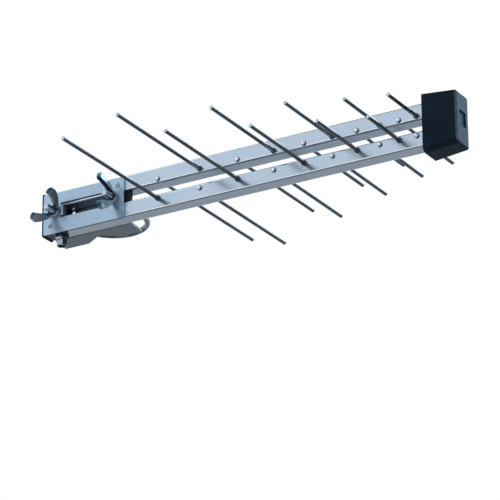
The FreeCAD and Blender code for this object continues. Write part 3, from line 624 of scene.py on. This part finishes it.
nut_materials = {}
for name, face_painted_light in NUT_FACES_PAINTED_LIGHT.items():
    nut_materials[name], start = start_material(f"cast_wing_nut_steel_{name}")
    place = position(start)
    x, _, z = place.parts()
    normal_x, normal_y, normal_z = normals(start)
    pitted = grain(start, place, (900.0, 900.0, 900.0), 4.0, 0.6)
    # Painted reflection: inner sides dark, outer sides paler, crowns teal.
    outside = (normal_x * start.math("SIGN", x)).above(0.1, 0.7)
    side_colour = outside.between(NUT_PAINTED_DARK_REFLECTION, NUT_OUTSIDE_PAINTED_REFLECTION)
    edge_colour = normal_z.above(0.55, 0.9).between(side_colour, NUT_CROWN_PAINTED_REFLECTION)
    broad = abs(normal_y)
    # Painted light on the broad faces; noise varies its edge.
    broad_face_painted_light = (broad + 0.1 * (pitted - 0.5)).above(0.72, 0.90)
    rim = broad.above(0.62, 0.72) * (1.0 - broad.above(0.90, 0.97))
    # Painted highlight on the ears' rims, away from the base.
    rim_painted_highlight = rim * z.above(RIM_HIGHLIGHT_START, RIM_HIGHLIGHT_END)
    ear_colour = rim_painted_highlight.between(broad_face_painted_light.between(edge_colour, face_painted_light), NUT_RIM_PAINTED_HIGHLIGHT)
    # Painted reflection on the base: its rim paler, its front dark.
    base_colour = normal_z.above(0.5, 0.85).between(NUT_BASE_PAINTED_REFLECTION, NUT_PAINTED_DARK_REFLECTION)
    low = 1.0 - z.above(BASE_TOP - BASE_BLEND, BASE_TOP)
    in_base = low * (1.0 - (x * x).above(BASE_INNER_R2, BASE_R * BASE_R))
    close_material(
        start,
        Base_Color=in_base.between(ear_colour, base_colour),
        Metallic=1.0 - FACE_METALLIC_LOSS * broad_face_painted_light.at_least(rim_painted_highlight),
        Roughness=0.18 + 0.12 * pitted,
        Normal=bump(start, pitted, 0.05 * MM, 0.3),
    )


def bowed(first, last, rise):
    """Places along a bow from the first to just before the last, which stands off its chord."""
    along = last - first
    square = Vector((along.y, -along.x)).normalized()
    places = []
    for index in range(ARC_STEPS):
        t = index / ARC_STEPS
        places.append(first + t * along + 4.0 * t * (1.0 - t) * rise * square)
    return places


def cast_nut():
    """The nut's rough shapes melted together, as a mesh with its axis along Z."""
    form = bmesh.new()
    angles = [2.0 * math.pi * index / HUB_SEGMENTS for index in range(HUB_SEGMENTS)]
    rings = []
    for radius, height in NUT_PROFILE_MM:
        circle = [(radius * math.cos(angle), radius * math.sin(angle)) for angle in angles]
        rings.append([(x * MM, y * MM, height * MM) for x, y in circle])
    join_rings(form, rings, closed=True)
    outline = []
    for index, (corner_place, rise) in enumerate(EAR_CORNERS_MM):
        following = EAR_CORNERS_MM[(index + 1) % len(EAR_CORNERS_MM)][0]
        outline += bowed(Vector(corner_place) * MM, Vector(following) * MM, rise * MM)
    for side in (-1, 1):
        faces_y = (-EAR_THICKNESS / 2, EAR_THICKNESS / 2)
        loops = [[(side * place.x, y, place.y) for place in outline] for y in faces_y]
        before = set(form.faces)
        join_rings(form, loops)
        broad = [face for face in form.faces if face not in before and len(face.verts) > 4]
        rims = list({edge for face in broad for edge in face.edges})
        rounding = {"offset": EAR_EDGE_ROUND, "segments": 2, "profile": 0.5, "affect": "EDGES"}
        bmesh.ops.bevel(form, geom=rims, **rounding)
    bmesh.ops.recalc_face_normals(form, faces=form.faces)
    rough = bpy.data.meshes.new("nut_rough")
    form.to_mesh(rough)
    form.free()
    holder = bpy.data.objects.new("nut_rough", rough)
    bpy.context.scene.collection.objects.link(holder)
    melt = holder.modifiers.new("melt", "REMESH")
    melt.mode = "VOXEL"
    melt.voxel_size = CAST_VOXEL
    soften = holder.modifiers.new("soften", "SMOOTH")
    soften.factor = 0.5
    soften.iterations = CAST_SMOOTHING
    depsgraph = bpy.context.evaluated_depsgraph_get()
    melted = bpy.data.meshes.new_from_object(holder.evaluated_get(depsgraph))
    bpy.data.objects.remove(holder)
    bpy.data.meshes.remove(rough)
    return melted


nut_mesh = cast_nut()
for name, side in NUT_SIDES.items():
    nut_form = bmesh.new()
    nut_form.from_mesh(nut_mesh)
    piece = add_piece(
        f"cast_nut_{name}",
        nut_form,
        nut_materials[name],
        f"wing_nut_{name}",
        180.0,
    )
    seat = Matrix.Translation((side * STUD_X, BOOM_PLANE_Y + NUT_SEAT_Y, 0.0))
    turn = Matrix.Rotation(math.radians(-NUT_TURNS[name]), 4, "Y")
    piece.matrix_world = seat @ turn @ Matrix.Rotation(math.radians(90.0), 4, "X")


# Nose cap, boom carrier and spacer
# Moulded from black plastic that stands the weather, with a fine texture. The front of the nose
# cap has a bluish face that is painted reflection, and its rounded edges a pale painted highlight.
BLACK = (0.007, 0.017, 0.032, 1.0)
BLACK_RUBBED = (0.012, 0.023, 0.038, 1.0)
# Painted reflection for the front face of the nose cap.
NOSE_FRONT_PAINTED_REFLECTION = (0.013, 0.060, 0.124, 1.0)
# Painted highlight for the nose cap's rounded front edges.
NOSE_EDGE_PAINTED_HIGHLIGHT = (0.120, 0.140, 0.165, 1.0)
BLACK_GLOSS_TINT = (0.5, 0.75, 1.0, 1.0)
NOSE_FRONT_START = 370.0 * MM
NOSE_FRONT_END = 372.0 * MM

moulded_black, start = start_material("moulded_black")
place = position(start)
pores = grain(start, place, (2500.0, 2500.0, 2500.0), 2.0)
rub = grain(start, place, (40.0, 40.0, 40.0), 4.0, 0.6)
side_x, side_y, _ = facing(start)
at_front = place.parts()[0].above(NOSE_FRONT_START, NOSE_FRONT_END)
# Painted reflection on the nose cap's front face.
front_painted_reflection = side_x.above(0.8, 0.97) * at_front
# Painted highlight on the rounded edges of the nose cap's front.
rounded = (side_x * side_y).above(0.25, 0.45) * at_front
dark = rounded.between(rub.above(0.4, 0.75).between(BLACK, BLACK_RUBBED), NOSE_EDGE_PAINTED_HIGHLIGHT)
close_material(
    start,
    Base_Color=front_painted_reflection.between(dark, NOSE_FRONT_PAINTED_REFLECTION),
    Roughness=0.40 + 0.14 * rub,
    Normal=bump(start, pores, 0.03 * MM, 0.5),
    Specular_IOR_Level=0.07,
    Specular_Tint=BLACK_GLOSS_TINT,
)
dress(moulded_black, "nose_cap", "boom_carrier", "boom_spacer")


# Rear end cap
# One black moulding that closes both booms: a flat cover whose rim stands a little proud of the
# tubes, and a plug pushed into each.
BOOM_HALF = 7.5 * MM
COVER_FRONT_X = -44.0 * MM
COVER_PROUD = 0.9 * MM
COVER_CORNER_R = 2.2 * MM
COVER_EDGE = 0.35 * MM
PLUG_HALF = 5.9 * MM
PLUG_CORNER_R = 1.0 * MM
CORNER_STEPS = 6
CORNER_SIDES = ((1, 1), (-1, 1), (-1, -1), (1, -1))


def cap_ring(x, centre_z, half_y, half_z, corner_r):
    """One ring round the booms' direction: a rectangle with round corners."""
    ring = []
    for index, (side_y, side_z) in enumerate(CORNER_SIDES):
        for step in range(CORNER_STEPS + 1):
            angle = math.pi / 2.0 * (index + step / CORNER_STEPS)
            y = BOOM_PLANE_Y + side_y * (half_y - corner_r) + corner_r * math.cos(angle)
            z = centre_z + side_z * (half_z - corner_r) + corner_r * math.sin(angle)
            ring.append((x, y, z))
    return ring


cap_low, cap_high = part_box("rear_end_cap")
cover_half_y = BOOM_HALF + COVER_PROUD
cover_half_z = cap_high[2] + COVER_PROUD
cover_insets = [
    (cap_low[0], COVER_EDGE),
    (cap_low[0] + COVER_EDGE, 0.0),
    (COVER_FRONT_X - COVER_EDGE, 0.0),
    (COVER_FRONT_X, COVER_EDGE),
]
cap_form = bmesh.new()
cover_rings = []
for x, inset in cover_insets:
    cover_size = (cover_half_y - inset, cover_half_z - inset, COVER_CORNER_R - inset)
    cover_rings.append(cap_ring(x, 0.0, *cover_size))
join_rings(cap_form, cover_rings)
for side in (-1, 1):
    plug_z = side * (cap_high[2] - BOOM_HALF)
    plug_size = (plug_z, PLUG_HALF, PLUG_HALF, PLUG_CORNER_R)
    join_rings(cap_form, [cap_ring(x, *plug_size) for x in (COVER_FRONT_X, cap_high[0])])
add_piece("moulded_rear_cap", cap_form, moulded_black, "rear_end_cap")


# Coaxial socket and feeder
# A turned brass body with nickel plate, darker on one side as a painted reflection: threaded
# barrel, chamfered hexagon and shank. It has a black sealing ring, a core painted dark as the
# shade in its mouth, and a brass contact. The black feeder cable runs inside the lower boom, to
# brass parts in the nose cap.
SOCKET_X = -29.5 * MM
HEX_TOP_Z = -21.5 * MM
HEX_LOW_Z = -24.9 * MM
HEX_HALF = 5.5 * MM
HEX_CHAMFER = 0.55 * MM
BARREL_R = 4.75 * MM
BARREL_CHAMFER = 0.45 * MM
BARREL_NECK = 0.5 * MM
BORE_R = 3.6 * MM
MOUTH_CHAMFER = 0.25 * MM
BARREL_THREAD_DEPTH = 0.06 * MM
BARREL_PITCH = 0.79 * MM
SOCKET_SEGMENTS = 96
# Painted reflection: the side of the socket that faces this way is painted dark.
DARK_SIDE_TOWARDS_X = 0.86
DARK_SIDE_TOWARDS_Y = 0.50
DARK_SIDE_WANDER = 0.15
NICKEL = (0.46, 0.51, 0.59, 1.0)
NICKEL_DULL = (0.34, 0.385, 0.46, 1.0)
# Painted dark reflection for one side of the socket.
NICKEL_SIDE_PAINTED_REFLECTION = (0.075, 0.085, 0.10, 1.0)
# Painted shade for the core, as the shade inside the socket's mouth.
CORE_PAINTED_SHADE = (0.003, 0.004, 0.006, 1.0)
CORE_PAINTED_SHADE_PALE = (0.009, 0.010, 0.012, 1.0)
BRASS = (0.34, 0.24, 0.11, 1.0)
BRASS_TARNISHED = (0.10, 0.075, 0.045, 1.0)

nickel, start = start_material("nickel_plate")
place = position(start)
stain = grain(start, place, (200.0, 200.0, 200.0), 3.0)
normal_x, normal_y, _ = normals(start)
# Painted dark reflection on the side that faces along these directions.
side_on = normal_x * DARK_SIDE_TOWARDS_X + normal_y * DARK_SIDE_TOWARDS_Y
side_painted_reflection = (side_on + DARK_SIDE_WANDER * (stain - 0.5)).above(0.16, 0.26)
close_material(
    start,
    Base_Color=side_painted_reflection.between(stain.between(NICKEL_DULL, NICKEL), NICKEL_SIDE_PAINTED_REFLECTION),
    Metallic=1.0,
    Roughness=0.16 + 0.10 * stain,
)
dress(nickel, "socket_locknut")

shank_low, shank_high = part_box("socket_body")
SHANK_TOP_Z = shank_high[2]
MOUTH_Z = shank_low[2]


def socket_ring(z, radius_at):
    """One ring round the socket's axis."""
    ring = []
    for index in range(SOCKET_SEGMENTS):
        turn = index / SOCKET_SEGMENTS
        radius = radius_at(turn)
        angle = 2.0 * math.pi * turn
        x = SOCKET_X + radius * math.cos(angle)
        y = BOOM_PLANE_Y + radius * math.sin(angle)
        ring.append((x, y, z))
    return ring


def hex_radius(limit):
    """The radius of the hexagon at each turn, cut off at a limit."""

    def radius_at(turn):
        from_flat = math.radians((turn * 360.0) % 60.0 - 30.0)
        return min(limit, HEX_HALF / math.cos(from_flat))

    return radius_at


def round_radius(radius):
    """The same radius at every turn."""
    return lambda turn: radius


def barrel_radius(z, limit):
    """The radius of the barrel's thread at each turn, cut off at a limit."""
    turns_down = (HEX_LOW_Z - z) / BARREL_PITCH

    def radius_at(turn):
        return min(limit, thread_radius(BARREL_R, BARREL_THREAD_DEPTH, turns_down - turn))

    return radius_at


NECK_LOW_Z = HEX_LOW_Z - BARREL_NECK
neck_r = BARREL_R - BARREL_THREAD_DEPTH
hex_corner = HEX_HALF / math.cos(math.radians(30.0))
socket_rings = [
    socket_ring(SHANK_TOP_Z, round_radius(BORE_R)),
    socket_ring(SHANK_TOP_Z, round_radius(BARREL_R)),
    socket_ring(HEX_TOP_Z, round_radius(BARREL_R)),
    socket_ring(HEX_TOP_Z, hex_radius(HEX_HALF)),
    socket_ring(HEX_TOP_Z - HEX_CHAMFER, hex_radius(hex_corner)),
    socket_ring(HEX_LOW_Z + HEX_CHAMFER, hex_radius(hex_corner)),
    socket_ring(HEX_LOW_Z, hex_radius(HEX_HALF)),
    socket_ring(HEX_LOW_Z, round_radius(neck_r)),
    socket_ring(NECK_LOW_Z, round_radius(neck_r)),
]
thread_length = NECK_LOW_Z - MOUTH_Z
thread_steps = round(thread_length / (BARREL_PITCH / TURN_RINGS))
for index in range(1, thread_steps + 1):
    z = NECK_LOW_Z - index * thread_length / thread_steps
    limit = BARREL_R - BARREL_CHAMFER + (z - MOUTH_Z)
    socket_rings.append(socket_ring(z, barrel_radius(z, limit)))
socket_rings.append(socket_ring(MOUTH_Z, round_radius(BORE_R + MOUTH_CHAMFER)))
socket_rings.append(socket_ring(MOUTH_Z + MOUTH_CHAMFER, round_radius(BORE_R)))
socket_form = bmesh.new()
join_rings(socket_form, socket_rings, closed=True)
add_piece("threaded_socket", socket_form, nickel, "socket_body", 30.0)

rubber, start = start_material("sealing_rubber")
rub = grain(start, position(start), (300.0, 300.0, 300.0), 3.0)
close_material(
    start,
    Base_Color=rub.between(BLACK, BLACK_RUBBED),
    Roughness=0.5 + 0.15 * rub,
    Specular_IOR_Level=0.2,
)
dress(rubber, "socket_gasket", "feeder_cable")

# The core is painted near black, the shade in the socket's mouth.
core, start = start_material("core_painted_shade")
haze = grain(start, position(start), (500.0, 500.0, 500.0), 2.0)
close_material(
    start,
    Base_Color=haze.between(CORE_PAINTED_SHADE, CORE_PAINTED_SHADE_PALE),
    Roughness=0.4 + 0.2 * haze,
    Specular_IOR_Level=0.1,
)
dress(core, "socket_insulator")

brass, start = start_material("brass")
tarnish = grain(start, position(start), (300.0, 300.0, 300.0), 3.0)
close_material(
    start,
    Base_Color=tarnish.between(BRASS_TARNISHED, BRASS),
    Metallic=1.0,
    Roughness=0.25 + 0.1 * tarnish,
)
dress(brass, "socket_contact", "braid_lug", "core_link", "feed_screws")
